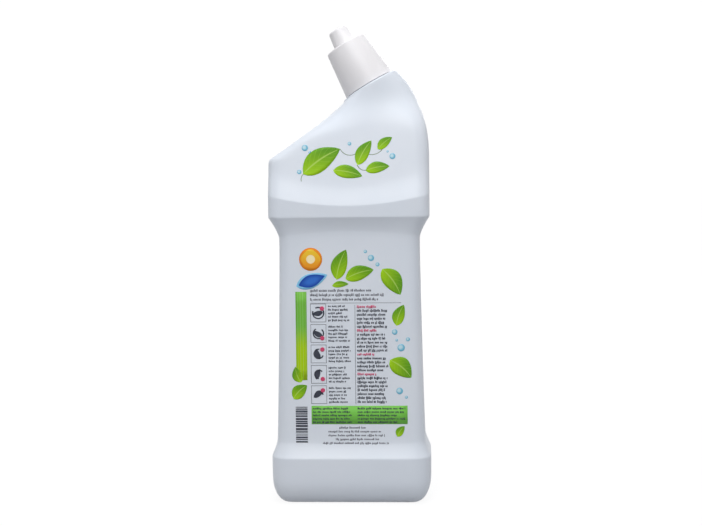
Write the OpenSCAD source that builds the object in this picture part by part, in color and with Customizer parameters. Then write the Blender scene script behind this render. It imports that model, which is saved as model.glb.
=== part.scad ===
// Toilet cleaner bottle with a bent neck, a plugged-in nozzle and a screw cap.
// Millimetres. Front is -Y, up is +Z, and the origin is the middle of the footprint.

/* [Base block] */
// Width of the base block
base_w = 87.5; // [82:0.5:100]
// Depth of the base block, front to back
base_d = 54; // [50:0.5:64]
// Height of the base block up to the foot of its step
base_h = 25.5; // [22:0.5:34]
// Width of the rounding along the bottom edge
base_edge_w = 8.5; // [5:0.5:9]
// Height of the rounding along the bottom edge
base_edge_h = 14; // [8:0.5:18]
// Corner rounding of the base block in plan
base_plan_r = 11; // [9:0.5:14]
// Rise of the middle of the underside
push_up = 2; // [1:0.25:4]
// Width of the flat ring that the bottle stands on
foot_ring_w = 3; // [2:0.25:6]

/* [Label panel] */
// Height of the step between the base block and the label panel
step_h = 10; // [8:0.5:20]
// Width of the label panel at its lower end
panel_w_low = 81; // [72:0.5:84]
// Width of the label panel at its upper end
panel_w_high = 76; // [70:0.5:84]
// Depth of the label panel
panel_d = 47; // [42:0.5:52]
// Height of the label panel
panel_h = 107.5; // [80:0.5:110]
// Height of the flare between the label panel and the belt
flare_h = 13; // [8:0.5:16]
// How much higher the flare starts in the middle of the front than at the sides
flare_arch = 4; // [0:0.5:6]

/* [Belt and shoulder] */
// Width of the belt
belt_w = 87.5; // [84:0.5:96]
// Depth of the belt
belt_d = 55; // [52:0.5:64]
// Height of the belt in the middle of the front
belt_h = 6; // [4:0.5:10]
// How much higher the belt's arc-shaped upper edge ends at the sides
arc_rise = 6; // [4:0.5:9]
// Depth of the ledge above the belt
ledge_d = 3; // [1:0.25:4]
// Height of the ledge above the belt
ledge_h = 11.5; // [8:0.5:13]
// Height of the left shoulder corner above the ground
corner_z = 187; // [187:0.5:196]
// Height at which the right side starts to curve over
bend_z = 190; // [190:0.5:200]
// Rounding of the left shoulder corner
corner_r = 3; // [1:0.5:5]
// Hollow of the left line from the shoulder corner to the collar
left_hollow = 1; // [0:0.1:3]

/* [Bent neck] */
// Lean of the neck towards the left
neck_lean = 30; // [15:1:36]
// Sideways place of the collar's middle
collar_x = 12; // [0:0.5:16]
// Height of the collar's middle above the ground
collar_z = 227; // [225:0.5:240]
// Diameter of the collar under the cap
collar_d = 34.5; // [33:0.5:38]
// Rounding of the collar's upper edge
collar_edge_r = 1; // [0.6:0.1:1.7]
// Outer diameter of the neck finish, without its thread
finish_d = 18.3; // [17:0.1:18.6]
// Bore of the neck finish
bore_d = 14; // [12:0.1:14.6]
// Height of the neck finish above the collar
finish_h = 22.4; // [18:0.1:24]

/* [Plastic] */
// Wall of the blow-moulded body
wall = 1.2; // [0.8:0.1:1.6]
// Corner rounding of the label panel and the upper block in plan
plan_r = 8; // [6:0.5:12]
// Height of the liquid's level above the ground
fill_z = 198.5; // [120:1:204]
// Clearance between the liquid and the wall
liquid_gap = 0.15; // [0.05:0.05:0.4]

/* [Nozzle] */
// Wall of the nozzle's plug
plug_wall = 1.3; // [0.8:0.1:2]
// Depth of the nozzle's plug in the bore
plug_l = 9; // [5:0.5:14]
// Clearance of the nozzle's plug in the bore
plug_fit = 0.02; // [0.01:0.01:0.05]
// Diameter of the nozzle's flange on the rim
flange_d = 17.6; // [16:0.1:18]
// Thickness of the nozzle's flange
flange_t = 1.2; // [0.8:0.1:2]
// Diameter of the spout at the flange
spout_root_d = 8.4; // [7:0.1:9]
// Diameter of the spout at its tip
spout_tip_d = 6.4; // [5:0.1:7]
// Length of the spout above the flange
spout_l = 10.3; // [6:0.1:12]
// Diameter of the orifice
orifice_d = 3.2; // [2.8:0.1:4]

/* [Cap] */
// Outer diameter of the cap at its open end
cap_base_d = 29.3; // [28:0.1:29.6]
// Outer diameter at the upper end of the wide cone
cap_shoulder_d = 23.6; // [23.6:0.1:27]
// Diameter of the nipple at its root
nipple_root_d = 13.4; // [12:0.1:15]
// Diameter of the nipple at its tip
nipple_tip_d = 10.6; // [9.6:0.1:12]
// Wall of the cap
cap_wall = 1.3; // [0.9:0.1:1.5]
// Rounding of the cap's outer edges
cap_edge_r = 0.8; // [0.3:0.1:1]
// Gap between the cap's rim and the collar
cap_gap = 0.4; // [0.3:0.1:1]
// Gap between the cap's sleeve and the neck finish, which the thread fills
sleeve_gap = 1.2; // [0.9:0.1:1.3]
// Wall of the sleeve inside the cap
sleeve_wall = 0.9; // [0.7:0.1:1.1]
// How far the sleeve stands back from the cap's rim
sleeve_back = 1.5; // [0.5:0.1:4]
// Diameter of the sealing pin that enters the orifice
pin_d = 2.2; // [1.2:0.1:2.4]
// How deep the sealing pin enters the orifice
pin_l = 1.2; // [0.5:0.1:2]
// Gap between the spout's tip and the nipple's ceiling
tip_gap = 0.5; // [0.3:0.1:2]

/* [Seal washer] */
// Thickness of the foam washer
washer_t = 1.2; // [0.8:0.1:2]
// Inner diameter of the foam washer
washer_bore_d = 11; // [10:0.1:12]
// Play of the foam washer between the cap and the nozzle
washer_play = 0.05; // [0.02:0.01:0.2]

/* [Print] */
// Thickness of the ink
ink_t = 0.08; // [0.04:0.01:0.2]
// Clearance between the ink and the plastic
ink_gap = 0.02; // [0.01:0.01:0.05]
// Height of the lowest printing above the ground
print_z = 37; // [36.5:0.5:44]
// Width of the upright strip at the left of the printing
strip_w = 6; // [4:0.5:7]
// Height of the upright strip
strip_h = 48; // [30:1:50]
// Width of the band across the foot of the printing
band_w = 52; // [44:1:52]
// Height of the band
band_h = 10; // [5:0.5:10.5]
// Width of one frame beside the left column
icon_w = 8.5; // [6:0.5:9]
// Height of one frame
icon_h = 10; // [7:0.5:10.5]
// Width of the left column of lines
column_w = 12.5; // [10:0.5:13]
// Width of the right column of lines
right_column_w = 17; // [14:0.5:17]
// Diameter of the badge's disc at the upper left of the label panel
badge_d = 12.5; // [8:0.5:13]
// Length of the badge's lens under the disc
lens_l = 18; // [14:0.5:18.5]

/* [Hidden] */

WHITE = [0.93, 0.94, 0.97];
WARM_WHITE = [0.95, 0.94, 0.94];
ARC_STEPS = 6;
FACE_STEPS = 8;
SLOPE_STEPS = 5;
EDGE_STEPS = 7;
QUARTER_TURN = 90;
NECK_STEPS = 12;
ROUND_FN = 96;
// rise of the shallow dome in the middle of the underside
dome_h = 0.8;

// Heights of the body's zones, from the ground up
panel_z = base_h + step_h;
flare_z = panel_z + panel_h;
belt_z = flare_z + flare_h;
arc_z = belt_z + belt_h;
ledge_z = arc_z + ledge_h;

// The shoulder panel is one leaning plane, from the ledge to the collar
shoulder_y = belt_d / 2 - ledge_d;
shoulder_slope = (shoulder_y - collar_d / 2) / (collar_z - ledge_z);

// The collar's plane: its direction to the right and its axis, as [x, z]
collar_r = collar_d / 2;
collar_mid = [collar_x, collar_z];
across = [cos(neck_lean), sin(neck_lean)];
along = [-sin(neck_lean), cos(neck_lean)];
hole_r = bore_d / 2 - 0.6;

// Left outline of the upper block: an upright side, a rounded corner, and a straight line
left_side = -belt_w / 2;
left_end = collar_mid - across * collar_r;
left_line = unit(left_end - [left_side, corner_z]);
left_normal = [left_line[1], -left_line[0]];
left_turn = atan2(left_line[0], left_line[1]);
left_tangent = corner_r * tan(left_turn / 2);
left_start = [left_side, corner_z] + left_line * left_tangent;

// Right outline of the upper block: an upright side that bends over into the neck
right_pull = 0.45 * (collar_z - bend_z);
right_lean = neck_lean + 14;
right_end = collar_mid + across * collar_r;
right_poles = [
    [belt_w / 2, bend_z],
    [belt_w / 2, bend_z + right_pull],
    right_end + [sin(right_lean), -cos(right_lean)] * right_pull,
    right_end
];
// share of the bend after which the right edge turns from a panel's corner into a round neck
crease = 0.34;

// Heights along the neck's axis, above the collar
flange_z = finish_h + flange_t;
spout_top = flange_z + spout_l;
land_z = flange_z + washer_t + 2 * washer_play;
cone_top = land_z + cap_wall;
nipple_top = spout_top + tip_gap + cap_wall;
sleeve_r = finish_d / 2 + sleeve_gap;

// Places on the printed front, as [x, height above the ground] unless said otherwise
strip_x = -29;
strip_z = 68;
bar_pitch = 1.6;
bar_count = 11;
band_z = 44;
icon_x = -21;
icon_gap = 1.1;
icon_z = band_z + band_h + icon_gap;
icon_count = 5;
frame_t = 0.4;
column_gap = 3;
left_column = icon_x + icon_w + icon_gap;
right_column = left_column + column_w + column_gap;
lines_z = icon_z + 0.5;
line_pitch = 2.15;
line_t = 0.9;
line_count = 25;
badge_x = -20.5;
badge_z = 133.5;
lens_tilt = 20;
// leaves are [x, height, angle, length, width], and heights on the shoulder start at the ledge
SHOULDER_LEAVES = [
    [-14, 12.5, 34, 24, 12], [0, 6, -12, 16, 7], [9, 17, 60, 15, 7], [16, 8.5, 10, 13, 6], [20, 22, 40, 10, 5]
];
PANEL_LEAVES = [
    [-4, 130.5, 72, 17, 8.5], [5.8, 125.2, 18, 16, 8], [-4.6, 119.6, 6, 9, 3.4], [22.8, 121, -55, 17, 10],
    [27.4, 103, 70, 12, 6.5], [26.7, 74, -50, 13, 8.5], [27.3, 40, 55, 7, 4.2], [-27, 61.5, 45, 10.5, 7]
];
// drops are [x, height, diameter]
SHOULDER_DROPS = [[-23, 20, 3.4], [-26, 7, 2.4], [24, 15, 3.2], [1, 22, 2]];
PANEL_DROPS = [
    [12, 134, 3.4], [15.5, 130.5, 2.2], [9, 137.5, 1.8], [24.4, 94, 3], [27.8, 85.5, 4], [26.8, 62, 3.6]
];

// Fields of a ring of the body. Ends and directions are [x, z] points.
LEFT = 0;
RIGHT = 1;
SAG = 2;
DEPTH = 3;
LEAN = 4;
CORNERS = 5;
ROUNDS = 6;
INWARDS = 7;
FACE_IN = 8;

function mix(a, b, t) = a + (b - a) * t;
function ease(t) = t * t * (3 - 2 * t);
function ramp(t, from, to) = ease(max(0, min(1, (t - from) / (to - from))));
function unit(v) = v / norm(v);
function shoulder_depth(z) = shoulder_y - (z - ledge_z) * shoulder_slope;

// a ring of width w, depth d and corner rounding r, with its ends level and its middle lower by sag
function level(z, w, d, r, sag) = [
    [-w / 2, z], [w / 2, z], sag, d / 2, 0, [r, r], [0, 0], [[1, 0], [-1, 0]], 1
];

// the wall turns from the foot ring up into the sides, so its inward direction turns too
function edge_ring(a) =
    let (
        cut = base_edge_w * (1 - sin(a)),
        z = base_edge_h * (1 - cos(a)),
        inwards = unit([base_edge_h * sin(a), base_edge_w * cos(a)])
    )
    [
        [-base_w / 2 + cut, z], [base_w / 2 - cut, z], 0, base_d / 2 - cut, 0,
        [1, 1] * max(base_plan_r - cut, 2), [0, 0], [inwards, [-inwards[0], inwards[1]]], inwards[0]
    ];

function foot_ring(cut, z) = [
    [-base_w / 2 + cut, z], [base_w / 2 - cut, z], 0, base_d / 2 - cut, 0,
    [1, 1] * max(base_plan_r - base_edge_w, 2), [0, 0], [[0, 1], [0, 1]], 0
];

function base_rings() = [
    foot_ring(base_edge_w + foot_ring_w + push_up, push_up),
    foot_ring(base_edge_w + foot_ring_w, 0),
    for (i = [0:EDGE_STEPS]) edge_ring(QUARTER_TURN * i / EDGE_STEPS)
];

// rings from a block's sharp edge, at e = 0, into the smooth end of the label panel, at e = 1
function slope_rings(edge_z, smooth_z, edge_w, smooth_w, edge_d, edge_corner, arch) = [
    for (i = [0:SLOPE_STEPS])
        let (t = i / SLOPE_STEPS, e = 1 - pow(1 - t, 1.5))
        level(
            mix(edge_z, smooth_z, t), mix(edge_w, smooth_w, e),
            mix(edge_d, panel_d, e), mix(edge_corner, plan_r, e), -arch * t
        )
];
function reversed(list) = [for (i = [len(list) - 1:-1:0]) list[i]];

// these rings hang down in the middle, which gives the ledge its arc; it fades into the shoulder
function ledge_rings() =
    let (high = corner_z - corner_r - ledge_z)
    [
        for (i = [0:SLOPE_STEPS])
            let (t = i / SLOPE_STEPS, rise = mix(arc_rise, high, t), z = arc_z + ledge_h * t + rise)
            [
                [left_side, z], [-left_side, z], rise, belt_d / 2, 1 - pow(1 - t, 2),
                [plan_r, plan_r], [0, 0], [[1, 0], [-1, 0]], 1
            ]
    ];

function corner_rings() = [
    for (i = [0:2])
        let (a = left_turn * i / 2, z = corner_z - left_tangent)
        [
            [left_side + corner_r * (1 - cos(a)), z + corner_r * sin(a)],
            [-left_side, mix(z, bend_z, i / 2)],
            0, belt_d / 2, 1, [plan_r, plan_r], [0, 0], [[cos(a), -sin(a)], [-1, 0]], 1
        ]
];

function right_at(t) =
    right_poles[0] * pow(1 - t, 3) + right_poles[1] * 3 * t * pow(1 - t, 2)
    + right_poles[2] * 3 * t * t * (1 - t) + right_poles[3] * pow(t, 3);

function right_normal(t) =
    let (d = unit(right_at(t + 0.01) - right_at(t - 0.01)))
    [-d[1], d[0]];

// the rings fan out from the level shoulder to the leaning collar
function neck_rings() = [
    for (i = [1:NECK_STEPS])
        let (t = i / NECK_STEPS)
        [
            mix(left_start, left_end, t) + left_normal * left_hollow * 4 * t * (1 - t),
            right_at(t), 0, collar_r, 1 - ramp(t, 0.4, 1),
            [plan_r, plan_r], [ramp(t, 0.3, 1), ramp(t, crease - 0.08, 0.75)],
            [left_normal, right_normal(t)], 1
        ]
];

function collar_rings() = [
    for (i = [1:3])
        let (
            a = 30 * i,
            r = collar_r - collar_edge_r * (1 - cos(a)),
            mid = collar_mid + along * collar_edge_r * sin(a)
        )
        disc(mid, r)
];

// a round ring square to the neck's axis
function disc(mid, r) = [
    mid - across * r, mid + across * r, 0, r, 0, [r / 2, r / 2], [1, 1], [across, -across], 1
];

function body_rings() = concat(
    base_rings(),
    slope_rings(base_h, panel_z, base_w, panel_w_low, base_d, base_plan_r, 0),
    reversed(slope_rings(belt_z, flare_z, belt_w, panel_w_high, belt_d, plan_r, flare_arch)),
    ledge_rings(),
    corner_rings(),
    neck_rings()
);

// outline of half a width of a ring, as [place, side, drop below the face]
function ring_outline(half, corners) =
    let (rl = corners[0], rr = corners[1])
    [
        [half, 0, 0],
        for (i = [0:ARC_STEPS])
            let (w = QUARTER_TURN * i / ARC_STEPS) [half - rr + rr * cos(w), 1, rr * (1 - sin(w))],
        for (i = [1:FACE_STEPS - 1]) [mix(half - rr, rl - half, i / FACE_STEPS), 1, 0],
        for (i = [ARC_STEPS:-1:0])
            let (w = QUARTER_TURN * i / ARC_STEPS) [rl - half - rl * cos(w), 1, rl * (1 - sin(w))],
        [-half, 0, 0],
        for (i = [0:ARC_STEPS])
            let (w = QUARTER_TURN * i / ARC_STEPS) [rl - half - rl * cos(w), -1, rl * (1 - sin(w))],
        for (i = [1:FACE_STEPS - 1]) [mix(rl - half, half - rr, i / FACE_STEPS), -1, 0],
        for (i = [ARC_STEPS:-1:0])
            let (w = QUARTER_TURN * i / ARC_STEPS) [half - rr + rr * cos(w), -1, rr * (1 - sin(w))]
    ];

// points of one ring, moved inwards by a distance, anticlockwise from above
function ring_points(ring, by) =
    let (
        left = ring[LEFT] + ring[INWARDS][0] * by,
        right = ring[RIGHT] + ring[INWARDS][1] * by,
        mid = (left + right) / 2,
        half = norm(right - left) / 2,
        dir = unit(right - left),
        face_in = ring[FACE_IN] * by,
        corners = [for (r = ring[CORNERS]) max(r - face_in, 0.8)],
        outline = ring_outline(half, corners),
        count = len(outline)
    )
    [
        for (i = [0:count - 1])
            let (
                q = outline[i],
                turn = 360 * i / count,
                roundness = mix(ring[ROUNDS][0], ring[ROUNDS][1], (1 + q[0] / half) / 2),
                p = mix(q[0], half * cos(turn), roundness),
                at = mid + dir * p - [0, ring[SAG] * (1 - pow(p / half, 2))],
                face = mix(ring[DEPTH], shoulder_depth(at[1]), ring[LEAN]) - face_in,
                y = mix(q[1] * (face - q[2]), face * sin(turn), roundness)
            )
            [at[0], y, at[1]]
    ];

function middle(ring) = [for (k = [0:2]) sum(ring, k, 0) / len(ring)];
function sum(ring, k, i) = i == len(ring) ? 0 : ring[i][k] + sum(ring, k, i + 1);

// closed skin through a list of rings of points, with a shallow dome over both ends
module skin(rings) {
    n = len(rings[0]);
    end = len(rings) * n;
    up = [0, 0, dome_h];
    points = concat(
        [for (ring = rings) each ring],
        [middle(rings[0]) + up, middle(rings[len(rings) - 1]) + up]
    );
    sides = [
        for (k = [0:len(rings) - 2], i = [0:n - 1])
            let (a = k * n + i, b = k * n + (i + 1) % n)
            each [[a, a + n, b + n], [a, b + n, b]]
    ];
    first = [for (i = [0:n - 1]) [i, (i + 1) % n, end]];
    last = [for (i = [0:n - 1]) [end - n + (i + 1) % n, end - n + i, end + 1]];
    polyhedron(points, concat(sides, first, last), convexity = 8);
}

module on_neck() {
    at = collar_mid + along * collar_edge_r;
    translate([at[0], 0, at[1]]) rotate([0, -neck_lean, 0]) children();
}

// outer skin up to the collar, then the inner skin back down
module blown_shell() {
    inner_hole = disc(collar_mid + along * 0.1, hole_r);
    outer = [for (ring = concat(body_rings(), collar_rings())) ring_points(ring, 0)];
    inner = [for (ring = body_rings()) ring_points(ring, wall)];
    skin(concat(
        outer,
        [ring_points(disc(collar_mid + along * collar_edge_r, hole_r), 0), ring_points(inner_hole, 0)],
        reversed(inner)
    ));
}

module finish_tube() {
    rotate_extrude($fn = ROUND_FN) polygon([
        [hole_r - 0.2, -0.9],
        [finish_d / 2, -0.9],
        [finish_d / 2, finish_h - 0.6],
        [finish_d / 2 - 0.6, finish_h],
        [hole_r - 0.2, finish_h]
    ]);
}

module bottle() {
    color(WHITE) difference() {
        union() {
            blown_shell();
            on_neck() finish_tube();
        }
        on_neck() translate([0, 0, -5]) cylinder(d = bore_d, h = finish_h + 10, $fn = ROUND_FN);
    }
}

module cleaner_liquid() {
    rings = [for (ring = body_rings()) ring_points(ring, wall + liquid_gap)];
    color([0.35, 0.75, 0.85]) intersection() {
        skin(rings);
        translate([-base_w, -base_d, 0]) cube([2 * base_w, 2 * base_d, fill_z]);
    }
}

module nozzle() {
    plug_r = bore_d / 2 - plug_fit;
    duct_r = plug_r - plug_wall;
    roof_z = finish_h - 0.5;
    color([0.9, 0.9, 0.9]) on_neck() rotate_extrude($fn = ROUND_FN) polygon([
        [plug_r - 0.5, finish_h - plug_l],
        [plug_r, finish_h - plug_l + 1],
        [plug_r, finish_h],
        [flange_d / 2, finish_h],
        [flange_d / 2, flange_z],
        [spout_root_d / 2, flange_z],
        [spout_tip_d / 2, spout_top - 0.4],
        [spout_tip_d / 2 - 0.4, spout_top],
        [orifice_d / 2, spout_top],
        [orifice_d / 2, spout_top - 3],
        [spout_root_d / 2 - plug_wall, roof_z],
        [duct_r, roof_z - (duct_r - spout_root_d / 2 + plug_wall) * 0.3],
        [duct_r, finish_h - plug_l]
    ]);
}

module tube(r, bore_r, h) {
    difference() {
        cylinder(r = r, h = h, $fn = ROUND_FN);
        translate([0, 0, -1]) cylinder(r = bore_r, h = h + 2, $fn = ROUND_FN);
    }
}

module seal_washer() {
    color([0.97, 0.97, 0.95]) on_neck() translate([0, 0, flange_z + washer_play])
        tube(flange_d / 2, washer_bore_d / 2, washer_t);
}

// points that round the corner at b, between its neighbours a and c
function rounded(a, b, c, r) =
    let (
        u = unit(a - b),
        v = unit(c - b),
        half = acos(u * v) / 2,
        mid = b + unit(u + v) * r / sin(half),
        from = b + u * r / tan(half) - mid,
        to = b + v * r / tan(half) - mid
    )
    [for (i = [0:5]) mid + unit(mix(from, to, i / 5)) * r];

module cap() {
    cone_slope = (cap_base_d - cap_shoulder_d) / 2 / (cone_top - cap_gap);
    skirt_top_r = cap_base_d / 2 - cap_wall - (land_z - cap_gap) * cone_slope;
    rim = [cap_base_d / 2, cap_gap];
    shoulder = [cap_shoulder_d / 2, cone_top];
    root = [nipple_root_d / 2, cone_top];
    tip = [nipple_tip_d / 2, nipple_top];
    color(WARM_WHITE) on_neck() {
        difference() {
            rotate_extrude($fn = ROUND_FN) polygon(concat(
                [[0, cap_gap], rim],
                rounded(rim, shoulder, root, cap_edge_r),
                [root],
                rounded(root, tip, [0, nipple_top], cap_edge_r),
                [[0, nipple_top]]
            ));
            rotate_extrude($fn = ROUND_FN) polygon([
                [0, cap_gap - 1],
                [cap_base_d / 2 - cap_wall + cone_slope, cap_gap - 1],
                [skirt_top_r, land_z],
                [nipple_root_d / 2 - cap_wall, land_z],
                [nipple_tip_d / 2 - cap_wall, nipple_top - cap_wall],
                [0, nipple_top - cap_wall]
            ]);
        }
        translate([0, 0, cap_gap + sleeve_back])
            tube(sleeve_r + sleeve_wall, sleeve_r, cone_top - cap_wall / 2 - cap_gap - sleeve_back);
        translate([0, 0, spout_top - pin_l])
            cylinder(d = pin_d, h = nipple_top - cap_wall / 2 - spout_top + pin_l, $fn = ROUND_FN);
    }
}

// a pointed leaf of length l and width w, with its middle at the origin
module leaf(l, w) {
    half = w / 2;
    r = (l * l / 4 + half * half) / w;
    intersection() {
        translate([0, r - half]) circle(r, $fn = ROUND_FN);
        translate([0, half - r]) circle(r, $fn = ROUND_FN);
    }
}

// leaves given as [x, z, angle, length, width], measured on the printed face
module leaves(list) {
    for (q = list) translate([q[0], q[1]]) rotate(q[2]) leaf(q[3], q[4]);
}

module drops(list) {
    for (q = list) translate([q[0], q[1]]) circle(d = q[2], $fn = 32);
}

module plates(list) {
    for (q = list) translate([q[0], q[1]]) square([q[2], q[3]]);
}

// lays a flat drawing on the label panel's front, with its y as the height above the ground
module on_panel() {
    translate([0, -panel_d / 2 - ink_gap, 0]) rotate([90, 0, 0]) linear_extrude(ink_t) children();
}

// the same on the leaning shoulder panel, with its y as the way up from the ledge
module on_shoulder() {
    translate([0, -shoulder_y, ledge_z]) rotate([90 - atan(shoulder_slope), 0, 0])
        translate([0, 0, ink_gap]) linear_extrude(ink_t) children();
}

module leaf_print() {
    color([0.35, 0.65, 0.12]) {
        on_shoulder() leaves(SHOULDER_LEAVES);
        on_panel() leaves(PANEL_LEAVES);
    }
}

module drop_print() {
    color([0.55, 0.82, 0.93]) {
        on_shoulder() drops(SHOULDER_DROPS);
        on_panel() drops(PANEL_DROPS);
    }
}

module badge_print() {
    color([0.95, 0.6, 0.15]) on_panel() translate([badge_x, badge_z]) {
        circle(d = badge_d, $fn = ROUND_FN);
        translate([0.5, -11.5]) rotate(lens_tilt) leaf(lens_l, lens_l * 0.44);
    }
}

module band_print() {
    color([0.5, 0.75, 0.3]) on_panel() plates([
        [icon_x, band_z, band_w, band_h],
        [strip_x, strip_z, strip_w, strip_h]
    ]);
}

module line_print() {
    color([0.55, 0.57, 0.6]) on_panel() {
        for (i = [0:icon_count - 1])
            translate([icon_x, icon_z + i * (icon_h + icon_gap)]) difference() {
                square([icon_w, icon_h]);
                translate([frame_t, frame_t]) square([icon_w - 2 * frame_t, icon_h - 2 * frame_t]);
            }
        for (i = [0:line_count - 1]) {
            translate([left_column, lines_z + i * line_pitch]) square([column_w, line_t]);
            translate([right_column, lines_z + i * line_pitch]) square([right_column_w, line_t]);
        }
        for (i = [0:bar_count - 1])
            translate([strip_x, print_z + i * bar_pitch]) square([strip_w, bar_pitch * (i % 3 + 1) / 5]);
    }
}

bottle();
cleaner_liquid();
nozzle();
seal_washer();
cap();
leaf_print();
drop_print();
badge_print();
band_print();
line_print();
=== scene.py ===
import math
import random

import bmesh
import bpy
from mathutils import Matrix, Vector
from mathutils.bvhtree import BVHTree


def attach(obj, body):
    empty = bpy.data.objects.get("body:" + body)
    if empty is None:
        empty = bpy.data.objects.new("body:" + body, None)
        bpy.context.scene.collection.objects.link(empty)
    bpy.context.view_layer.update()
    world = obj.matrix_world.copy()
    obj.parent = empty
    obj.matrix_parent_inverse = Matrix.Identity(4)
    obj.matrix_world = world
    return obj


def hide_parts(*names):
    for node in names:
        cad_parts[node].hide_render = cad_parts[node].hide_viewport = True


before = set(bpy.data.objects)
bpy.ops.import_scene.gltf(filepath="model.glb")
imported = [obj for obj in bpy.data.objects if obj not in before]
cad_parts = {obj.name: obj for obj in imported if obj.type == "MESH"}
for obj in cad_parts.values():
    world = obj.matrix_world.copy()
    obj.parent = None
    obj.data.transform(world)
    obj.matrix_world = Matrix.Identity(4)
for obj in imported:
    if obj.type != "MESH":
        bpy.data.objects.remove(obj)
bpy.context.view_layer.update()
mm = 0.001


# ---------------------------------------------------------------------------
# Bottle: one shell of cool white polyethylene, blown in a two-part mould.
# Its skin is one ring drawn up from the foot, past the label panel and the
# belt, over the leaning shoulder and into the bent neck, then down inside.

base_w, base_d, base_h = 87.5 * mm, 54 * mm, 25.5 * mm
base_edge_w, base_edge_h = 8.5 * mm, 14 * mm
base_plan_r, foot_ring_w, push_up = 11 * mm, 3 * mm, 2 * mm
panel_z, flare_z, belt_z, flare_arch = 35.5 * mm, 143 * mm, 156 * mm, 4 * mm
panel_w_low, panel_w_high, panel_d = 81 * mm, 76 * mm, 47 * mm
belt_w, belt_d, belt_h, arc_rise = 87.5 * mm, 55 * mm, 6 * mm, 6 * mm
ledge_d, ledge_h, plan_r = 3 * mm, 11.5 * mm, 8 * mm
corner_z, corner_r, bend_z = 187 * mm, 3 * mm, 190 * mm
left_hollow, lean = 1 * mm, math.radians(30)
bend_pull, bend_into = 0.45, math.radians(14)
collar_mid, collar_r, collar_edge_r = Vector((12 * mm, 227 * mm)), 17.25 * mm, 1 * mm
finish_r, bore_r, finish_h = 9.15 * mm, 7 * mm, 22.4 * mm
thread_top, thread_half, thread_pitch, thread_turns = 14.5 * mm, 1.1 * mm, 4.2 * mm, 2.2
wall, least_corner_r, dome = 1.2 * mm, 0.8 * mm, 0.8 * mm
hold = 0.9 * mm
CORNER_STEPS, FACE_STEPS, BASE_STEPS, SLOPE_STEPS = 4, 6, 6, 5
LEDGE_STEPS, EDGE_STEPS, NECK_STEPS, THREAD_STEPS = 4, 2, 12, 36

ledge_z = belt_z + belt_h + ledge_h
shoulder_y = belt_d / 2 - ledge_d
shoulder_slope = (shoulder_y - collar_r) / (collar_mid.y - ledge_z)
across = Vector((math.cos(lean), math.sin(lean)))
along = Vector((-math.sin(lean), math.cos(lean)))
neck_foot = collar_mid + along * collar_edge_r
NECK = Matrix.Translation((neck_foot.x, 0, neck_foot.y)) @ Matrix.Rotation(-lean, 4, "Y")


def mix(a, b, t):
    return a + (b - a) * t


def ramp(t, start, end):
    t = min(1, max(0, (t - start) / (end - start)))
    return t * t * (3 - 2 * t)


def shoulder_depth(z):
    return shoulder_y - (z - ledge_z) * shoulder_slope


def outline(half, corners):
    """Half a width's outline, as (place, side, drop below the face), anticlockwise."""
    left, right = corners
    turns = [math.pi / 2 * i / CORNER_STEPS for i in range(CORNER_STEPS + 1)]
    steps = [i / FACE_STEPS for i in range(1, FACE_STEPS)]
    side = [(half - right + right * math.cos(w), right * (1 - math.sin(w))) for w in turns]
    side += [(mix(half - right, left - half, t), 0) for t in steps]
    side += [(left - half - left * math.cos(w), left * (1 - math.sin(w))) for w in reversed(turns)]
    back = [(p, 1, drop) for p, drop in side]
    front = [(p, -1, drop) for p, drop in reversed(side)]
    return [(half, 0, 0)] + back + [(-half, 0, 0)] + front


def level_ring(z, w, d, r, inwards=(1, 0)):
    """A ring that lies level; inwards is where its wall lies, seen from the left side."""
    left, right = Vector((-w / 2, z)), Vector((w / 2, z))
    turned = (Vector(inwards), Vector((-inwards[0], inwards[1])))
    return dict(ends=(left, right), depth=d / 2, corners=(r, r), inwards=turned, face_in=inwards[0])


def ring_points(ring, by):
    """Points of a ring, moved by a distance into the wall."""
    left, right = (end + way * by for end, way in zip(ring["ends"], ring["inwards"]))
    mid, half, way = (left + right) / 2, (right - left).length / 2, (right - left).normalized()
    face_in = ring["face_in"] * by
    lean_in, sag, rounds = ring.get("lean", 0), ring.get("sag", 0), ring.get("rounds", (0, 0))
    places = outline(half, [max(r - face_in, least_corner_r) for r in ring["corners"]])
    points = []
    for i, (p, side, drop) in enumerate(places):
        turn = 2 * math.pi * i / len(places)
        roundness = mix(rounds[0], rounds[1], (1 + p / half) / 2)
        p = mix(p, half * math.cos(turn), roundness)
        at = mid + way * p
        z = at.y - sag * (1 - (p / half) ** 2)
        face = mix(ring["depth"], shoulder_depth(z), lean_in) - face_in
        points.append(Vector((at.x, mix(side * (face - drop), face * math.sin(turn), roundness), z)))
    return points


def slope_rings(edge_z, smooth_z, edge_w, smooth_w, edge_d, edge_corner, arch):
    """From a block's edge into the smooth end of the label panel."""
    for i in range(SLOPE_STEPS + 1):
        t = i / SLOPE_STEPS
        e = 1 - (1 - t) ** 1.5
        ring = level_ring(
            mix(edge_z, smooth_z, t), mix(edge_w, smooth_w, e),
            mix(edge_d, panel_d, e), mix(edge_corner, plan_r, e))
        ring["sag"] = -arch * t
        yield ring


def base_rings():
    """The push-up, the foot ring and the rounded lower edge of the base block."""
    for cut, z in ((base_edge_w + foot_ring_w + push_up, push_up), (base_edge_w + foot_ring_w, 0)):
        yield level_ring(z, base_w - 2 * cut, base_d - 2 * cut, base_plan_r - base_edge_w, (0, 1))
    for i in range(BASE_STEPS + 1):
        a = math.pi / 2 * i / BASE_STEPS
        cut = base_edge_w * (1 - math.sin(a))
        inwards = Vector((base_edge_h * math.sin(a), base_edge_w * math.cos(a))).normalized()
        yield level_ring(
            base_edge_h * (1 - math.cos(a)), base_w - 2 * cut, base_d - 2 * cut,
            max(base_plan_r - cut, 2 * mm), inwards)


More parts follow.
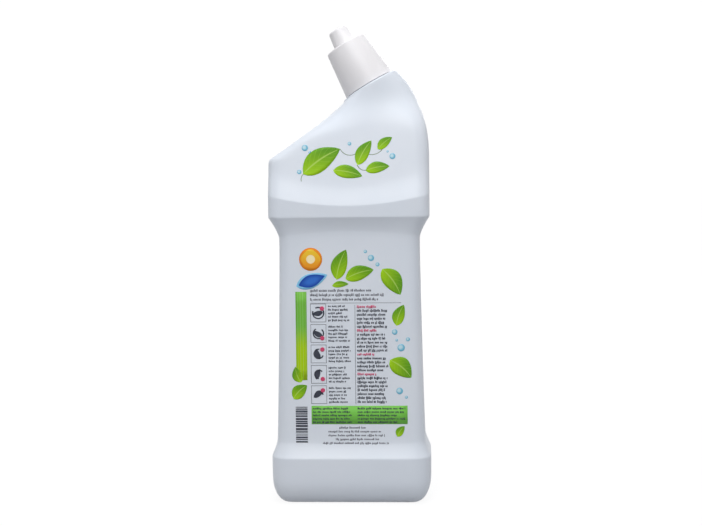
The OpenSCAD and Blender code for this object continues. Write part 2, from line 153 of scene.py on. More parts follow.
def upper_rings():
    """The belt's arc and the ledge, the shoulder corner, and the turn into the neck."""
    side = belt_w / 2
    for i in range(LEDGE_STEPS + 1):
        t = i / LEDGE_STEPS
        rise = mix(arc_rise, corner_z - corner_r - ledge_z, t)
        z = belt_z + belt_h + ledge_h * t + rise
        ring = level_ring(z, belt_w, belt_d, plan_r)
        ring.update(sag=rise, lean=1 - (1 - t) ** 2)
        yield ring
    line = (collar_mid - across * collar_r - Vector((-side, corner_z))).normalized()
    turn = math.atan2(line.x, line.y)
    tangent = corner_r * math.tan(turn / 2)
    for i in range(EDGE_STEPS + 1):
        a = turn * i / EDGE_STEPS
        left = Vector((
            -side + corner_r * (1 - math.cos(a)), corner_z - tangent + corner_r * math.sin(a)))
        right = Vector((side, mix(corner_z - tangent, bend_z, i / EDGE_STEPS)))
        inwards = (Vector((math.cos(a), -math.sin(a))), Vector((-1, 0)))
        yield dict(ends=(left, right), depth=belt_d / 2, lean=1, corners=(plan_r, plan_r),
                   inwards=inwards, face_in=1)
    start = Vector((-side, corner_z)) + line * tangent
    inwards_left = Vector((line.y, -line.x))
    pull = bend_pull * (collar_mid.y - bend_z)
    end = collar_mid + across * collar_r
    into = lean + bend_into
    poles = [
        Vector((side, bend_z)), Vector((side, bend_z + pull)),
        end + Vector((math.sin(into), -math.cos(into))) * pull, end]

    def bend(t):
        a, b, c, d = poles
        return a * (1 - t) ** 3 + b * 3 * t * (1 - t) ** 2 + c * 3 * t * t * (1 - t) + d * t ** 3

    for i in range(1, NECK_STEPS + 1):
        t = i / NECK_STEPS
        tangent_right = (bend(t + 0.01) - bend(t - 0.01)).normalized()
        left = mix(start, end - across * 2 * collar_r, t)
        left += inwards_left * left_hollow * 4 * t * (1 - t)
        yield dict(
            ends=(left, bend(t)), depth=collar_r, lean=1 - ramp(t, 0.4, 1),
            corners=(plan_r, plan_r), rounds=(ramp(t, 0.3, 1), ramp(t, 0.26, 0.75)),
            inwards=(inwards_left, Vector((-tangent_right.y, tangent_right.x))), face_in=1)


def disc_points(r, h, count):
    """A round ring about the neck's axis, at a height above the collar."""
    turns = (2 * math.pi * i / count for i in range(count))
    return [NECK @ Vector((r * math.cos(a), r * math.sin(a), h)) for a in turns]


def softened(rings, edges):
    """Adds a ring at each side of the rings in edges, so that they stay crisp when subdivided."""
    out = []
    for k, points in enumerate(rings):
        if k not in edges:
            out.append(points)
            continue
        for other in (k - 1, k, k + 1):
            far = rings[other]
            gap = max((a - b).length for a, b in zip(points, far)) or 1
            out.append([mix(a, b, min(0.45, hold / gap)) for a, b in zip(points, far)])
    return out


def draw_up(bm, rings):
    """Extrudes one open ring through the places that each next ring gives."""
    circle = bmesh.ops.create_circle(bm, segments=len(rings[0]), radius=1)["verts"]
    for vert, place in zip(circle, rings[0]):
        vert.co = place
    edges = list({edge for vert in circle for edge in vert.link_edges})
    order = {vert: i for i, vert in enumerate(circle)}
    first = edges
    for places in rings[1:]:
        made = bmesh.ops.extrude_edge_only(bm, edges=edges)["geom"]
        edges = [g for g in made if isinstance(g, bmesh.types.BMEdge)]
        fresh = {}
        for vert in (g for g in made if isinstance(g, bmesh.types.BMVert)):
            i = next(
                order[e.other_vert(vert)] for e in vert.link_edges if e.other_vert(vert) in order)
            vert.co = places[i]
            fresh[vert] = i
        order = fresh
    return first, edges


def close_ring(bm, edges):
    """Closes an open ring with a shallow dome."""
    face = bmesh.ops.contextual_create(bm, geom=edges)["faces"]
    middle = bmesh.ops.poke(bm, faces=face)["verts"]
    bmesh.ops.translate(bm, verts=middle, vec=(0, 0, dome))


def piece_of(name, bm, body):
    """Makes a bmesh into a piece that rides on a CAD body."""
    bmesh.ops.recalc_face_normals(bm, faces=bm.faces)
    mesh = bpy.data.meshes.new(name)
    bm.to_mesh(mesh)
    bm.free()
    mesh.shade_smooth()
    piece = bpy.data.objects.new(name, mesh)
    bpy.context.scene.collection.objects.link(piece)
    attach(piece, body)
    return piece


def subdivided(piece, levels):
    modifier = piece.modifiers.new("smooth", "SUBSURF")
    modifier.levels = modifier.render_levels = levels


def thread_bead(bm, r, top, half, turns, out=1):
    """Winds one rounded thread about the neck's axis, tapered into the wall at both ends."""
    root, crest = -out * 0.3 * mm, out * 0.8 * mm
    section = [(root, -half), (crest, -0.4 * half), (crest, 0.4 * half), (root, half)]
    verts = [bm.verts.new((r + x, 0, top + z)) for x, z in section]
    face = bm.faces.new(verts)
    edges = list(face.edges)
    before = set(bm.verts) - set(verts)
    bmesh.ops.spin(
        bm, geom=verts + edges + [face], cent=(0, 0, 0), axis=(0, 0, 1),
        dvec=(0, 0, -thread_pitch / THREAD_STEPS), angle=2 * math.pi * turns,
        steps=int(THREAD_STEPS * turns))
    wound = [v for v in bm.verts if v not in before]
    for vert in wound:
        done = (top - vert.co.z) / (thread_pitch * turns)
        reach = Vector((vert.co.x, vert.co.y)).length
        kept = min(1, max(0.02, min(done, 1 - done) * turns * 6))
        vert.co.x, vert.co.y = Vector((vert.co.x, vert.co.y)) * (r + (reach - r) * kept) / reach
    bmesh.ops.transform(bm, matrix=NECK, verts=wound)


def bottle_mesh():
    bm = bmesh.new()
    levels = list(base_rings())
    foot_edge, step_edge = 1, len(levels)
    levels += slope_rings(base_h, panel_z, base_w, panel_w_low, base_d, base_plan_r, 0)
    flare = slope_rings(belt_z, flare_z, belt_w, panel_w_high, belt_d, plan_r, flare_arch)
    levels += reversed(list(flare))
    belt_edge = len(levels) - 1
    levels += list(upper_rings())
    crisp = {foot_edge, step_edge, belt_edge, belt_edge + 1}
    skin = softened([ring_points(ring, 0) for ring in levels], crisp)
    count = len(skin[0])
    up = collar_edge_r
    top = [
        (collar_r - 0.1 * up, -0.5 * up), (collar_r - 0.45 * up, -0.1 * up), (collar_r - up, 0),
        (finish_r + 1.2 * mm, 0), (finish_r + 0.2 * mm, 0.1 * mm), (finish_r, 1 * mm),
        (finish_r, finish_h - 1 * mm), (finish_r, finish_h - 0.5 * mm),
        (finish_r - 0.5 * mm, finish_h), (bore_r + 0.3 * mm, finish_h),
        (bore_r, finish_h - 0.3 * mm), (bore_r, finish_h - 1 * mm),
        (bore_r, 1 * mm), (bore_r, -wall - 0.5 * mm)]
    skin += [disc_points(r, h, count) for r, h in top]
    skin += [ring_points(ring, wall) for ring in reversed(levels)]
    first, last = draw_up(bm, skin)
    close_ring(bm, first)
    close_ring(bm, last)
    thread_bead(bm, finish_r, thread_top, thread_half, thread_turns)
    return bm


bottle = piece_of("blown_bottle", bottle_mesh(), "bottle")
subdivided(bottle, 2)
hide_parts("bottle")


class Value:
    """One socket of a finish. Arithmetic on it adds Math nodes."""

    def __init__(self, finish, socket):
        self.finish, self.socket = finish, socket

    def out(self, name):
        return Value(self.finish, self.socket.node.outputs[name])

    def math(self, operation, *values):
        return self.finish.node(
            "ShaderNodeMath", {"operation": operation}, dict(enumerate(values)))

    def __add__(self, other): return self.math("ADD", self, other)
    def __sub__(self, other): return self.math("SUBTRACT", self, other)
    def __mul__(self, other): return self.math("MULTIPLY", self, other)
    def __truediv__(self, other): return self.math("DIVIDE", self, other)
    def __abs__(self): return self.math("ABSOLUTE", self)


class Finish:
    """A material under way. node() adds any node, and put() feeds the shader's sockets."""

    def __init__(self, name, colour, roughness):
        self.material = bpy.data.materials.new(name)
        self.material.use_nodes = True
        self.tree = self.material.node_tree
        self.shader = self.tree.nodes["Principled BSDF"]
        self.place = self.node("ShaderNodeTexCoord", {}, {}).out("Object")
        self.put({"Base Color": paint(*colour), "Roughness": roughness})
        self.material.diffuse_color = paint(*colour)

    def node(self, kind, settings, sockets):
        node = self.tree.nodes.new(kind)
        for name, value in settings.items():
            setattr(node, name, value)
        for name, value in sockets.items():
            self.feed(node.inputs[name], value)
        return Value(self, node.outputs[0])

    def feed(self, socket, value):
        if isinstance(value, Value):
            self.tree.links.new(value.socket, socket)
        else:
            socket.default_value = value

    def put(self, sockets):
        for name, value in sockets.items():
            self.feed(self.shader.inputs[name], value)

    def noise(self, scale, detail=2):
        return self.node(
            "ShaderNodeTexNoise", {}, {"Vector": self.place, "Scale": scale, "Detail": detail})

    def ramp(self, value, low, high, start=0, end=1):
        return self.node(
            "ShaderNodeMapRange", {"interpolation_type": "SMOOTHSTEP"},
            {"Value": value, "From Min": low, "From Max": high, "To Min": start, "To Max": end})

    def blend(self, mask, a, b):
        mixed = self.node(
            "ShaderNodeMix", {"data_type": "RGBA"}, {0: mask, 6: a, 7: b})
        return Value(self, mixed.socket.node.outputs[2])

    def bump(self, height, distance, strength):
        sockets = {"Height": height, "Distance": distance, "Strength": strength}
        self.put({"Normal": self.node("ShaderNodeBump", {}, sockets)})


def paint(r, g, b):
    """A colour as it is seen, 0 to 255, made linear for a shader."""
    def linear(c):
        c /= 255
        return c / 12.92 if c < 0.04045 else ((c + 0.055) / 1.055) ** 2.4
    return (linear(r), linear(g), linear(b), 1)


def polyethylene(name, colour, warm, roughness):
    """Blown or moulded polyethylene: a fine skin grain and slow clouding."""
    finish = Finish(name, colour, roughness)
    cloud = finish.noise(22, 3)
    grain = finish.noise(1800, 2)
    finish.put({
        "Base Color": finish.blend(finish.ramp(cloud, 0.35, 0.65), paint(*colour), paint(*warm)),
        "Roughness": finish.ramp(grain + cloud * 0.6, 0.5, 1.2, roughness - 0.04, roughness + 0.06),
    })
    return finish, grain


body_white, grain = polyethylene("body_plastic", (222, 228, 237), (219, 226, 236), 0.42)
depth = abs(body_white.node("ShaderNodeSeparateXYZ", {}, {0: body_white.place}).out("Y"))
part_line = body_white.ramp(depth, 0.05 * mm, 0.3 * mm, 1, 0)
body_white.bump(grain * 0.12 + part_line, 0.12 * mm, 0.5)
bottle.data.materials.append(body_white.material)


# ---------------------------------------------------------------------------
# Filling, nozzle and washer: the cleaner inside the shell, the moulded insert
# pressed into the bore, and the ring cut from foam sheet that seals the cap.

cleaner = Finish("cleaner", (92, 186, 208), 0.08)
swirl = cleaner.noise(30, 2)
cleaner.put({
    "Base Color": cleaner.blend(swirl, paint(84, 180, 204), paint(112, 198, 214)),
    "IOR": 1.34,
})
nozzle_white, nozzle_grain = polyethylene(
    "nozzle_plastic", (232, 233, 232), (226, 228, 228), 0.34)
nozzle_white.bump(nozzle_grain, 0.03 * mm, 0.4)
foam = Finish("foam", (238, 238, 232), 0.9)
cells = foam.node("ShaderNodeTexVoronoi", {}, {"Vector": foam.place, "Scale": 2600})
foam.put({"Base Color": foam.blend(
    foam.ramp(cells, 0, 0.6), paint(214, 214, 206), paint(243, 243, 238))})
foam.bump(cells, 0.1 * mm, 0.6)
for node, finish in (("cleaner_liquid", cleaner), ("nozzle", nozzle_white), ("seal_washer", foam)):
    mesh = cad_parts[node].data
    mesh.materials.clear()
    mesh.materials.append(finish.material)


# ---------------------------------------------------------------------------
# Cap: one injection-moulded screw cap in a slightly warmer white, a wide cone
# with a nipple, a threaded sleeve inside, and a pin that closes the nozzle.

cap_base_r, cap_shoulder_r, cap_gap, cone_top = 14.65 * mm, 11.8 * mm, 0.4 * mm, 26.2 * mm
nipple_root_r, nipple_tip_r, nipple_top, cap_wall = 6.7 * mm, 5.3 * mm, 35.7 * mm, 1.3 * mm
land_z, sleeve_r, sleeve_wall, sleeve_back = 24.9 * mm, 10.35 * mm, 0.9 * mm, 1.5 * mm
pin_r, pin_low = 1.1 * mm, 32.7 * mm
inner_thread_top, inner_thread_half, inner_thread_turns = 12.4 * mm, 1 * mm, 1.6
TURNED_STEPS, ROUNDING_STEPS = 96, 5


def turned(bm, profile, rounding):
    """Spins a profile of (radius, height) points about the neck's axis, its corners rounded.
    rounding gives the radius of each corner by its place in the profile."""
    verts = [bm.verts.new((r, 0, h)) for r, h in profile]
    for a, b in zip(verts, verts[1:]):
        bm.edges.new((a, b))
    made = set(verts)
    for place, r in rounding.items():
        result = bmesh.ops.bevel(
            bm, geom=[verts[place]], offset=r, offset_type="OFFSET", affect="VERTICES",
            segments=ROUNDING_STEPS, profile=0.5, material=-1)
        made |= set(result["verts"])
    verts = [v for v in made if v.is_valid]
    edges = list({e for v in verts for e in v.link_edges})
    before = set(bm.verts) - set(verts)
    bmesh.ops.spin(
        bm, geom=verts + edges, cent=(0, 0, 0), axis=(0, 0, 1), angle=2 * math.pi,
        steps=TURNED_STEPS, use_merge=True)
    spun = [v for v in bm.verts if v not in before]
    bmesh.ops.remove_doubles(bm, verts=spun, dist=0.001 * mm)


def cap_mesh():
    bm = bmesh.new()
    slope = (cap_base_r - cap_shoulder_r) / (cone_top - cap_gap)
    ceiling_r = cap_base_r - cap_wall - (land_z - cap_gap) * slope
    profile = [
        (0, nipple_top), (nipple_tip_r, nipple_top), (nipple_root_r, cone_top),
        (cap_shoulder_r, cone_top), (cap_base_r, cap_gap), (cap_base_r - cap_wall, cap_gap),
        (ceiling_r, land_z), (sleeve_r + sleeve_wall, land_z),
        (sleeve_r + sleeve_wall, cap_gap + sleeve_back), (sleeve_r, cap_gap + sleeve_back),
        (sleeve_r, land_z), (nipple_root_r - cap_wall, land_z),
        (nipple_tip_r - cap_wall, nipple_top - cap_wall), (pin_r, nipple_top - cap_wall),
        (pin_r, pin_low), (0, pin_low)]
    turned(bm, profile, {
        1: 1.1 * mm, 2: 0.5 * mm, 3: 0.9 * mm, 4: 0.25 * mm, 5: 0.3 * mm, 8: 0.3 * mm,
        9: 0.3 * mm, 14: 0.3 * mm})
    bmesh.ops.transform(bm, matrix=NECK, verts=bm.verts)
    thread_bead(bm, sleeve_r, inner_thread_top, inner_thread_half, inner_thread_turns, out=-0.5)
    return bm


cap = piece_of("screw_cap", cap_mesh(), "cap")
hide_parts("cap")
cap_white, cap_grain = polyethylene("cap_plastic", (236, 234, 236), (232, 231, 234), 0.38)
cap_white.bump(cap_grain, 0.05 * mm, 0.4)
cap.data.materials.append(cap_white.material)


# ---------------------------------------------------------------------------
# Print: thin fields of ink, screen-printed on the blown shell. Each drawing is
# made flat, as (across, height), and then pressed onto the shell's front.

strip_x, strip_w, strip_z, strip_h = -29 * mm, 6 * mm, 68 * mm, 48 * mm
icon_x, icon_z, icon_w, icon_h = -21 * mm, 55.1 * mm, 8.5 * mm, 10 * mm
icon_count, icon_pitch = 5, 11.1 * mm
left_x, left_w, right_x, right_w = -11.4 * mm, 12.5 * mm, 4.1 * mm, 17 * mm
lines_z, line_count, line_pitch = 55.6 * mm, 25, 2.15 * mm
note_count, note_pitch, note_top = 5, 1.9 * mm, 8.2 * mm
head_z, head_pitch, foot_z, foot_pitch = 111.2 * mm, 2.4 * mm, 41.6 * mm, 2.1 * mm
band_z, band_w, band_h = 44 * mm, 52 * mm, 10 * mm
band_lines, band_margin, band_pitch = 5, 0.7 * mm, 1.85 * mm
bars_z, bars_below, bars_above, bars_w = 37 * mm, 3 * mm, 17 * mm, 6.4 * mm
badge_x, badge_z, badge_r, lens_l, lens_tilt = -20.5 * mm, 133.5 * mm, 6.25 * mm, 18, 20
strip_lime_z, strip_green_z, pinstripe_pitch = 84 * mm, 99 * mm, 1.4 * mm
ink_t = 0.04 * mm
way_up = math.cos(math.atan(shoulder_slope))

bpy.context.view_layer.update()
shell = BVHTree.FromObject(bottle, bpy.context.evaluated_depsgraph_get())
chance = random.Random(4)


def on_shoulder(x, up):
    return x * mm, ledge_z + up * way_up * mm


def drawing():
    bm = bmesh.new()
    bm.loops.layers.uv.new("drawing")
    return bm


def ink(name, colour):
    """A matt screen ink."""
    finish = Finish(name, colour, 0.5)
    finish.put({"Specular IOR Level": 0.2})
    return finish


def field(bm, x, z, w, h, nx=1, nz=1, turn=0, shape=None):
    """A field of ink about its middle. shape moves its points, given as -1 to 1 both ways."""
    layer = bm.loops.layers.uv["drawing"]
    grid = bmesh.ops.create_grid(bm, x_segments=nx, y_segments=nz, size=1)["verts"]
    place = {v: Vector((v.co.x, v.co.y)) for v in grid}
    for face in {f for v in grid for f in v.link_faces}:
        for loop in face.loops:
            loop[layer].uv = (place[loop.vert] + Vector((1, 1))) / 2
    for vert, at in place.items():
        at = shape(*at) if shape else at
        vert.co = (at[0] * w / 2, 0, at[1] * h / 2)
    bmesh.ops.rotate(bm, verts=grid, cent=(0, 0, 0), matrix=Matrix.Rotation(-turn, 3, "Y"))
    bmesh.ops.translate(bm, verts=grid, vec=(x, 0, z))
    return grid


def leaf(bm, x, z, degrees, length, width, sway=0.12):
    """A leaf with its stem at the left, pointed at both ends and swayed along its length."""
    def shape(along, over):
        full = (1 - along ** 2) ** 0.8 * (1 - 0.25 * along)
        return along, over * full + sway * 2 * (1 - along ** 2)
    field(bm, x, z, length * mm, width * mm, 14, 6, math.radians(degrees), shape)


def spot(bm, x, z, r):
    """A round spot; its place in the field runs from the middle to the rim."""
    def shape(u, v):
        return u * math.sqrt(1 - v * v / 2), v * math.sqrt(1 - u * u / 2)
    field(bm, x, z, 2 * r, 2 * r, 6, 6, 0, shape)


def stem(bm, x, z, r, start, sweep, thickness):
    """A thin curl of a stem: a short edge spun about a point."""
    a = math.radians(start)
    ends = [
        bm.verts.new((x + (r + k) * math.cos(a), 0, z + (r + k) * math.sin(a)))
        for k in (-thickness / 2, thickness / 2)]
    edge = bm.edges.new(ends)
    bmesh.ops.spin(
        bm, geom=ends + [edge], cent=(x, 0, z), axis=(0, -1, 0), angle=math.radians(sweep),
        steps=max(6, int(abs(sweep) / 8)))


def press(name, bm, finish, nodes=(), lift=0.05 * mm):
    """Lays a flat drawing on the shell, thickens it to a film and rides it on the bottle."""
    lay = Vector((0, 1, 0))
    for vert in bm.verts:
        place, normal, _, _ = shell.ray_cast(Vector((vert.co.x, -0.2, vert.co.z)), lay)
        vert.co = place + normal * lift
    bmesh.ops.recalc_face_normals(bm, faces=bm.faces)
    for face in bm.faces:
        if face.normal.y > 0:
            face.normal_flip()
    bmesh.ops.solidify(bm, geom=bm.faces[:], thickness=ink_t)
    piece = piece_of(name, bm, "bottle")
    piece.data.materials.append(finish.material)
    for node in nodes:
        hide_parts(node)
    return piece


# leaves, as (across, height, angle, length, width) in millimetres and degrees
bm = drawing()
for x, up, degrees, length, width in (
        (-14, 12.5, 34, 24, 12), (0, 6, -12, 16, 7), (9, 17, 60, 15, 7), (16, 8.5, 10, 13, 6),
        (20, 22, 40, 10, 5)):
    leaf(bm, *on_shoulder(x, up), degrees, length, width)
for x, z, degrees, length, width in (
        (-4, 130.5, 72, 17, 8.5), (5.8, 125.2, 18, 16, 8), (-4.6, 119.6, 6, 9, 3.4),
        (22.8, 121, -55, 17, 10), (27.4, 103, 70, 12, 6.5), (27.4, 74, -40, 15, 10),
        (27.3, 40, 55, 7, 4.2), (-27, 61.5, 45, 10.5, 7), (-28, 71, 110, 9, 5.5)):
    leaf(bm, x * mm, z * mm, degrees, length, width)
leaf_ink = ink("leaf_ink", (112, 186, 40))
spread = leaf_ink.node("ShaderNodeSeparateXYZ", {}, {
    0: leaf_ink.node("ShaderNodeUVMap", {"uv_map": "drawing"}, {})})
along_leaf, over = spread.out("X"), abs(spread.out("Y") - 0.5)
green = leaf_ink.blend(
    leaf_ink.ramp(along_leaf + spread.out("Y") * 0.5, 0.1, 1.2),
    paint(160, 208, 20), paint(92, 152, 26))
veins = (along_leaf * 7 - over * 4).math("FRACT", along_leaf * 7 - over * 4)
green = leaf_ink.blend(leaf_ink.ramp(veins, 0.0, 0.16, 0.35, 0), green, paint(176, 214, 80))
green = leaf_ink.blend(leaf_ink.ramp(over, 0.02, 0.05, 0.6, 0), green, paint(190, 222, 110))
leaf_ink.put({"Base Color": green})
press("leaf_print", bm, leaf_ink, ["leaf_print"])

# curled stems between the shoulder's leaves, as (across, height, radius, start, sweep)
bm = drawing()
for x, up, r, start, sweep in (
        (1.5, 22, 6.2, 207, 112), (13, 23, 7, 250, 100), (9, 11.5, 3.9, 195, 85), (-21, 3, 4, 136, 60)):
    stem(bm, *on_shoulder(x, up), r * mm, start, sweep, 0.35 * mm)
stem_ink = ink("stem_ink", (112, 134, 96))
stem_ink.put({"Base Color": stem_ink.blend(
    stem_ink.noise(120), paint(96, 120, 84), paint(134, 156, 112))})
press("stem_print", bm, stem_ink, lift=0.02 * mm)

# pale-blue drops, darker at the rim, as (across, height, diameter)
bm = drawing()
for x, up, size in (
        (-23, 20, 3.4), (-26, 7, 2.4), (24, 15, 3.2), (1, 22, 2), (-20.4, 17.6, 1.4),
        (21.4, 17.6, 1.2)):
    spot(bm, *on_shoulder(x, up), size / 2 * mm)
for x, z, size in (
        (12, 134, 3.4), (15.5, 130.5, 2.2), (9, 137.5, 1.8), (24.4, 94, 3), (27.8, 85.5, 4),
        (26.8, 62, 3.6), (31.5, 90, 2.2), (30.4, 58.6, 1.6), (25.4, 89.6, 1.4)):
    spot(bm, x * mm, z * mm, size / 2 * mm)
drop_ink = ink("drop_ink", (140, 205, 228))
from_middle = drop_ink.node("ShaderNodeVectorMath", {"operation": "DISTANCE"}, {
    0: drop_ink.node("ShaderNodeUVMap", {"uv_map": "drawing"}, {}), 1: (0.4, 0.6, 0)}).out("Value")
drop_ink.put({"Base Color": drop_ink.blend(
    drop_ink.ramp(from_middle, 0.1, 0.5), paint(200, 228, 238), paint(112, 186, 214))})
press("drop_print", bm, drop_ink, ["drop_print"])

# a plain badge: a warm disc in a rim, and a blue lens under it
bm = drawing()
spot(bm, badge_x, badge_z, badge_r)
leaf(bm, badge_x + 0.5 * mm, badge_z - 11.5 * mm, lens_tilt, lens_l, 0.44 * lens_l, 0)
badge_ink = ink("badge_ink", (240, 178, 50))
spread = badge_ink.node("ShaderNodeSeparateXYZ", {}, {0: badge_ink.place})
in_field = badge_ink.node("ShaderNodeVectorMath", {"operation": "DISTANCE"}, {
    0: badge_ink.node("ShaderNodeUVMap", {"uv_map": "drawing"}, {}), 1: (0.5, 0.5, 0)}).out("Value")
warm = badge_ink.blend(
    badge_ink.ramp(spread.out("Z"), badge_z - badge_r, badge_z + badge_r),
    paint(236, 146, 36), paint(248, 208, 58))
warm = badge_ink.blend(badge_ink.ramp(in_field, 0.18, 0.2, 1, 0), warm, paint(252, 236, 190))
warm = badge_ink.blend(badge_ink.ramp(in_field, 0.42, 0.44), warm, paint(238, 140, 30))
blue = badge_ink.blend(badge_ink.ramp(in_field, 0.1, 0.42), paint(52, 112, 204), paint(28, 70, 165))
blue = badge_ink.blend(badge_ink.ramp(in_field, 0.4, 0.43), blue, paint(130, 196, 232))
disc_foot = badge_z - badge_r
low = badge_ink.ramp(spread.out("Z"), disc_foot - 1.2 * mm, disc_foot - 0.2 * mm, 1, 0)
badge_ink.put({"Base Color": badge_ink.blend(low, warm, blue)})
press("badge_print", bm, badge_ink, ["badge_print"])

# the green band and the upright strip, which runs from deep green to lime
bm = drawing()
field(bm, icon_x + band_w / 2, band_z + band_h / 2, band_w, band_h, 12, 2)
field(bm, strip_x + strip_w / 2, strip_z + strip_h / 2, strip_w, strip_h, 3, 8)
band_ink = ink("band_ink", (119, 196, 80))
spread = band_ink.node("ShaderNodeSeparateXYZ", {}, {0: band_ink.place})
strip_green = band_ink.blend(
    band_ink.ramp(spread.out("Z"), strip_lime_z, strip_green_z),
    paint(168, 207, 0), paint(114, 186, 66))
pinstripe = spread.out("X") / pinstripe_pitch
pinstripe = band_ink.ramp(pinstripe.math("FRACT", pinstripe), 0.12, 0.2, 0.2, 0)
strip_green = band_ink.blend(pinstripe, strip_green, paint(220, 240, 200))
in_strip = band_ink.ramp(spread.out("X"), -22.2 * mm, -21.8 * mm, 1, 0)
band_ink.put({"Base Color": band_ink.blend(in_strip, paint(119, 196, 80), strip_green)})
press("band_print", bm, band_ink, ["band_print"])


def frame_of(bm, x, z, w, h, t):
    """A frame of four bars of ink, from its lower left corner."""
    for dx, dz, side_w, side_h in (
            (0, 0, w, t), (0, h - t, w, t), (0, t, t, h - 2 * t), (w - t, t, t, h - 2 * t)):
        parts = max(1, int(side_w / (2 * mm)))
        field(bm, x + dx + side_w / 2, z + dz + side_h / 2, side_w, side_h, parts, 1)


def marks(bm, x, z, w, height, ragged=0.8):
    """One line of small upright marks in groups, where a label has a line of small type."""
    end = x + w * (1 - ragged * 0.25 * chance.random())
    while x < end:
        for _ in range(chance.randint(2, 8)):
            mark_w = chance.uniform(0.3, 0.68) * mm
            rise = chance.choice((0.66, 0.7, 0.75, 1))
            foot = chance.choice((0, 0, 0, 0.25)) * height
            if x + mark_w > end:
                return
            field(bm, x + mark_w / 2, z + (height * rise - foot) / 2, mark_w, height * rise + foot)
            x += mark_w + 0.18 * mm
        x += 0.5 * mm


# grey ink: the three lines at the top, rules, frames, and the small lines at the foot
bm = drawing()
for i in range(icon_count):
    frame_of(bm, icon_x, icon_z + i * icon_pitch, icon_w, icon_h, 0.26 * mm)
for i, w in enumerate((37, 42, 34)):
    marks(bm, icon_x, head_z + i * head_pitch, w * mm, 1.4 * mm, 0.2)
field(bm, 3.5 * mm, 109.8 * mm, 49 * mm, 0.22 * mm, 12, 1)
field(bm, 3.1 * mm, 81.8 * mm, 0.24 * mm, 54 * mm, 1, 12)
for i, (x, w) in enumerate(((-6, 15), (-12, 30), (-12, 32), (-8, 24), (-15, 38))):
    marks(bm, x * mm, foot_z - i * foot_pitch, w * mm, 1.1 * mm, 0.2)
ink_grey = ink("line_ink", (112, 114, 122))
ink_grey.put({"Base Color": ink_grey.blend(
    ink_grey.noise(400), paint(100, 102, 110), paint(126, 128, 136))})
press("line_print", bm, ink_grey, ["line_print"])

# darker ink: the columns, the bars, the figures in the frames and the marks on the band
bm = drawing()
headings = (7, 12, 18, 24)
for i in range(line_count):
    if i not in headings:
        marks(bm, right_x, lines_z + i * line_pitch, right_w, 1.35 * mm, 0.6)
for i in range(icon_count):
    for k in range(note_count):
        line_z = icon_z + i * icon_pitch + note_top - k * note_pitch
        marks(bm, left_x, line_z, left_w, 1 * mm, 1.4)
z = bars_z - bars_below
while z < bars_z + bars_above:
    h = chance.choice((0.3, 0.5, 0.8, 1.1)) * mm
    field(bm, strip_x + 2.6 * mm, z + h / 2, bars_w, h, 3, 1)
    z += h + chance.choice((0.3, 0.4, 0.6)) * mm
for i in range(band_lines):
    line_z = band_z + band_margin + i * band_pitch
    marks(bm, icon_x + 0.8 * mm, line_z, 22 * mm, 1 * mm, 0.5)
    marks(bm, 4 * mm, line_z, 26 * mm, 1 * mm, 0.8)
for i in range(icon_count):
    x, z = icon_x + icon_w / 2, icon_z + i * icon_pitch + icon_h / 2
    stem(bm, x, z, (2 + 0.25 * i) * mm, 40 * i, 200 + 30 * i, 0.7 * mm)
    leaf(bm, x - 0.4 * mm, z, 30 + 40 * i, 6, 2.8)
ink_dark = ink("dark_ink", (58, 62, 74))
ink_dark.put({"Base Color": ink_dark.blend(
    ink_dark.noise(400), paint(50, 54, 66), paint(72, 76, 88))})
press("dark_print", bm, ink_dark, ["line_print"], lift=0.1 * mm)

# red ink: the headings of the right column and a spot in each frame
bm = drawing()
for i in headings:
    marks(bm, right_x, lines_z + i * line_pitch, 11 * mm, 1.3 * mm)
for i in range(icon_count):
    z = icon_z + i * icon_pitch + (2.4 if i % 2 else 7.4) * mm
    spot(bm, icon_x + icon_w - 2.2 * mm, z, 1.2 * mm)
ink_red = ink("red_ink", (206, 70, 110))
ink_red.put({"Base Color": ink_red.blend(
    ink_red.noise(400), paint(198, 62, 100), paint(216, 84, 124))})
press("red_print", bm, ink_red, lift=0.14 * mm)


# ---------------------------------------------------------------------------
# Studio: a white paper sweep, a broad soft lamp in front and above, one right
# overhead, one behind, a weak one at each side, and the photograph's camera.

photo_w, focal_px, film_w = 702, 1258.9, 36
azimuth, elevation, roll = math.radians(3.06), math.radians(3.3), math.radians(0.615)
distance, target = 0.7, Vector((0, 0, 0.130))
floor_half, shadow_r, white_r = 4, 0.15, 0.8

bm = bmesh.new()
bmesh.ops.create_grid(bm, x_segments=1, y_segments=1, size=floor_half)
rear = [e for e in bm.edges if all(v.co.y > 3 for v in e.verts)]
for rise, back in ((0.05, 0.18), (0.2, 0.3), (4, 0.35)):
    made = bmesh.ops.extrude_edge_only(bm, edges=rear)["geom"]
    bmesh.ops.translate(
        bm, verts=[g for g in made if isinstance(g, bmesh.types.BMVert)], vec=(0, back, rise))
    rear = [g for g in made if isinstance(g, bmesh.types.BMEdge)]
mesh = bpy.data.meshes.new("sweep")
bm.to_mesh(mesh)
bm.free()
mesh.shade_smooth()
sweep = bpy.data.objects.new("sweep", mesh)
bpy.context.scene.collection.objects.link(sweep)
paper = Finish("paper", (168, 168, 170), 0.9)
path = paper.node("ShaderNodeLightPath", {}, {})
from_foot = paper.node(
    "ShaderNodeVectorMath", {"operation": "LENGTH"}, {0: paper.place}).out("Value")
shown = path.out("Is Camera Ray") + path.out("Is Glossy Ray")
shown = shown * paper.ramp(from_foot, shadow_r, white_r, 0.76, 0.835)
glow = paper.node("ShaderNodeEmission", {}, {"Color": (1, 1, 1, 1), "Strength": 1.2})
lit = paper.node(
    "ShaderNodeMixShader", {}, {0: shown, 1: Value(paper, paper.shader.outputs[0]), 2: glow})
paper.feed(paper.tree.nodes["Material Output"].inputs["Surface"], lit)
sweep.data.materials.append(paper.material)

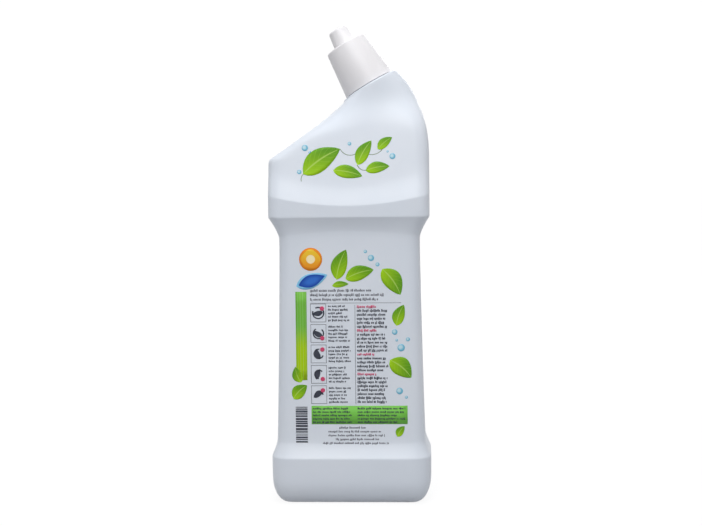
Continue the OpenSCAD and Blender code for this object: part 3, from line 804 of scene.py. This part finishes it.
world = bpy.data.worlds.new("studio")
bpy.context.scene.world = world
world.use_nodes = True
nodes, links = world.node_tree.nodes, world.node_tree.links
sky = nodes["Background"]
sky.inputs["Color"].default_value = (1, 1, 1, 1)
path = nodes.new("ShaderNodeLightPath")
seen = nodes.new("ShaderNodeMath")
level = nodes.new("ShaderNodeMapRange")
links.new(path.outputs["Is Camera Ray"], seen.inputs[0])
links.new(path.outputs["Is Glossy Ray"], seen.inputs[1])
links.new(seen.outputs[0], level.inputs["Value"])
level.inputs["To Min"].default_value = 0.24
level.inputs["To Max"].default_value = 1
links.new(level.outputs[0], sky.inputs["Strength"])


def lamp(name, size, watts, place, look_at):
    """A round soft lamp."""
    data = bpy.data.lights.new(name, "AREA")
    data.shape, data.size, data.energy = "DISK", size, watts
    light = bpy.data.objects.new(name, data)
    light.location = place
    light.rotation_euler = (Vector(look_at) - Vector(place)).to_track_quat("-Z", "Y").to_euler()
    bpy.context.scene.collection.objects.link(light)


lamp("key", 0.9, 7.8, (0, -0.9, 0.96), (0, 0, 0.12))
lamp("above", 0.6, 3.9, (-0.02, -0.15, 1.1), (0, 0, 0.12))
lamp("left", 0.5, 0.8, (-0.9, -0.25, 0.5), (0, 0, 0.15))
lamp("right", 0.5, 0.8, (0.9, -0.25, 0.5), (0, 0, 0.12))
lamp("back", 0.8, 7, (0.1, 1.25, 0.7), (0, 0, 0.12))

camera = bpy.data.objects.new("camera", bpy.data.cameras.new("camera"))
bpy.context.scene.collection.objects.link(camera)
away = Vector((
    -math.sin(azimuth) * math.cos(elevation),
    math.cos(azimuth) * math.cos(elevation),
    -math.sin(elevation)))
camera.location = target - away * distance
camera.rotation_mode = "QUATERNION"
turn = Matrix.Rotation(-roll, 3, "Z").to_quaternion()
camera.rotation_quaternion = away.to_track_quat("-Z", "Y") @ turn
camera.data.sensor_width = film_w
camera.data.lens = film_w * focal_px / photo_w
camera.data.clip_start, camera.data.clip_end = 0.01, 20
bpy.context.scene.camera = camera
bpy.context.scene.view_settings.view_transform = "Standard"
